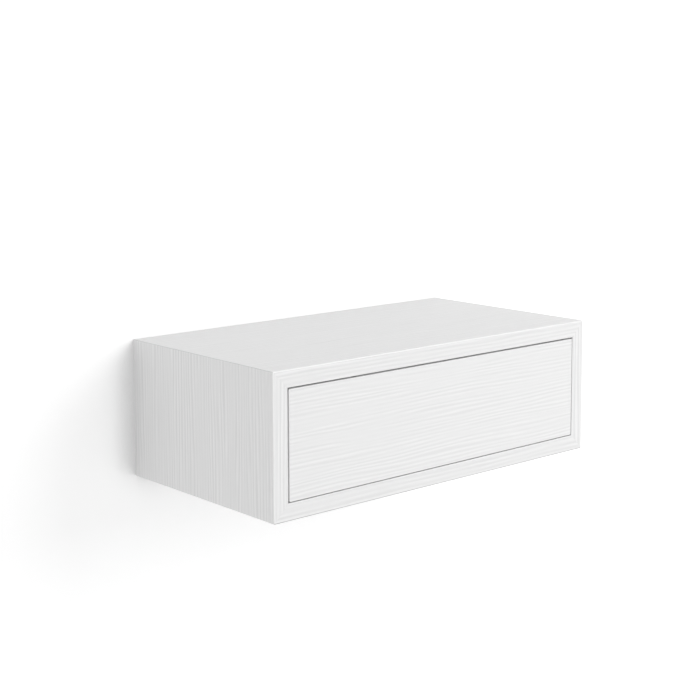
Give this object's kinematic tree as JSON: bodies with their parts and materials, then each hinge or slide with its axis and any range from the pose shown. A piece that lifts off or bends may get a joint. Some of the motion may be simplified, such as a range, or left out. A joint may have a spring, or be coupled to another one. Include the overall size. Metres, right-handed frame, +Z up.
{
  "type": "floating nightstand",
  "caption": "White wall-hung nightstand with mitred case boards and a handleless inset drawer that opens with a push.",
  "frame": {"origin": "middle of the rear face, on the wall", "axes": "+X to the right seen from the room, +Y into the wall, +Z up; the drawer front faces -Y"},
  "size_m": [0.46, 0.245, 0.152],
  "materials": {
    "ash_laminate": "matt white laminate embossed with a fine ash grain",
    "white_board": "smooth white melamine",
    "white_hardboard": "white lacquered hardboard",
    "birch_plywood": "raw",
    "beech": "raw",
    "zinc_steel": "bright zinc plated",
    "cast_zinc": "cast, plain",
    "cage_plastic": "moulded",
    "latch_plastic": "moulded",
    "tip_rubber": "soft"
  },
  "bodies": {
    "case": {"top_panel": "ash_laminate", "bottom_panel": "ash_laminate", "left_side_panel": "ash_laminate", "right_side_panel": "ash_laminate", "back_panel": "white_board", "corner_spline_top_left": "birch_plywood", "corner_spline_top_right": "birch_plywood", "corner_spline_bottom_left": "birch_plywood", "corner_spline_bottom_right": "birch_plywood", "back_dowel_left_upper": "beech", "back_dowel_left_lower": "beech", "back_dowel_right_upper": "beech", "back_dowel_right_lower": "beech", "left_cabinet_runner": "zinc_steel", "left_cabinet_runner_screw_front": "zinc_steel", "left_cabinet_runner_screw_rear": "zinc_steel", "right_cabinet_runner": "zinc_steel", "right_cabinet_runner_screw_front": "zinc_steel", "right_cabinet_runner_screw_rear": "zinc_steel", "latch_housing": "latch_plastic", "latch_screw_left": "zinc_steel", "latch_screw_right": "zinc_steel"},
    "drawer": {"drawer_front": "ash_laminate", "drawer_left_side": "white_board", "drawer_right_side": "white_board", "drawer_back": "white_board", "drawer_bottom": "white_hardboard", "left_drawer_runner": "zinc_steel", "left_drawer_runner_screw_front": "zinc_steel", "left_drawer_runner_screw_rear": "zinc_steel", "right_drawer_runner": "zinc_steel", "right_drawer_runner_screw_front": "zinc_steel", "right_drawer_runner_screw_rear": "zinc_steel", "front_cam_left_lower": "cast_zinc", "front_cam_left_upper": "cast_zinc", "front_cam_right_lower": "cast_zinc", "front_cam_right_upper": "cast_zinc", "front_bolt_left_lower": "zinc_steel", "front_bolt_left_upper": "zinc_steel", "front_bolt_right_lower": "zinc_steel", "front_bolt_right_upper": "zinc_steel", "drawer_back_screw_left_lower": "zinc_steel", "drawer_back_screw_left_upper": "zinc_steel", "drawer_back_screw_right_lower": "zinc_steel", "drawer_back_screw_right_upper": "zinc_steel", "drawer_bottom_screw_left": "zinc_steel", "drawer_bottom_screw_right": "zinc_steel"},
    "left_middle": {"left_middle_runner": "zinc_steel"},
    "right_middle": {"right_middle_runner": "zinc_steel"},
    "left_outer_cage": {"left_outer_ball_cage": "cage_plastic"},
    "left_inner_cage": {"left_inner_ball_cage": "cage_plastic"},
    "right_outer_cage": {"right_outer_ball_cage": "cage_plastic"},
    "right_inner_cage": {"right_inner_ball_cage": "cage_plastic"},
    "plunger": {"latch_plunger": "latch_plastic", "latch_tip": "tip_rubber"}
  },
  "joints": [
    {"name": "drawer_slide", "type": "slide", "parent": "case", "child": "drawer", "axis": [0, -1, 0], "range_m": [-0.002, 0.195]},
    {"name": "left_middle_slide", "type": "slide", "parent": "case", "child": "left_middle", "axis": [0, -1, 0], "range_m": [-0.001, 0.0975]},
    {"name": "right_middle_slide", "type": "slide", "parent": "case", "child": "right_middle", "axis": [0, -1, 0], "range_m": [-0.001, 0.0975]},
    {"name": "left_outer_cage_slide", "type": "slide", "parent": "case", "child": "left_outer_cage", "axis": [0, -1, 0], "range_m": [-0.0005, 0.04875]},
    {"name": "left_inner_cage_slide", "type": "slide", "parent": "case", "child": "left_inner_cage", "axis": [0, -1, 0], "range_m": [-0.0015, 0.14625]},
    {"name": "right_outer_cage_slide", "type": "slide", "parent": "case", "child": "right_outer_cage", "axis": [0, -1, 0], "range_m": [-0.0005, 0.04875]},
    {"name": "right_inner_cage_slide", "type": "slide", "parent": "case", "child": "right_inner_cage", "axis": [0, -1, 0], "range_m": [-0.0015, 0.14625]},
    {"name": "plunger_slide", "type": "slide", "parent": "case", "child": "plunger", "axis": [0, -1, 0], "range_m": [-0.0002, 0.0195]}
  ],
  "couplings": [
    {"joint": "left_middle_slide", "follows": "drawer_slide", "ratio": 0.5},
    {"joint": "right_middle_slide", "follows": "drawer_slide", "ratio": 0.5},
    {"joint": "left_outer_cage_slide", "follows": "drawer_slide", "ratio": 0.25},
    {"joint": "left_inner_cage_slide", "follows": "drawer_slide", "ratio": 0.75},
    {"joint": "right_outer_cage_slide", "follows": "drawer_slide", "ratio": 0.25},
    {"joint": "right_inner_cage_slide", "follows": "drawer_slide", "ratio": 0.75},
    {"joint": "plunger_slide", "follows": "drawer_slide", "ratio": 0.1}
  ]
}
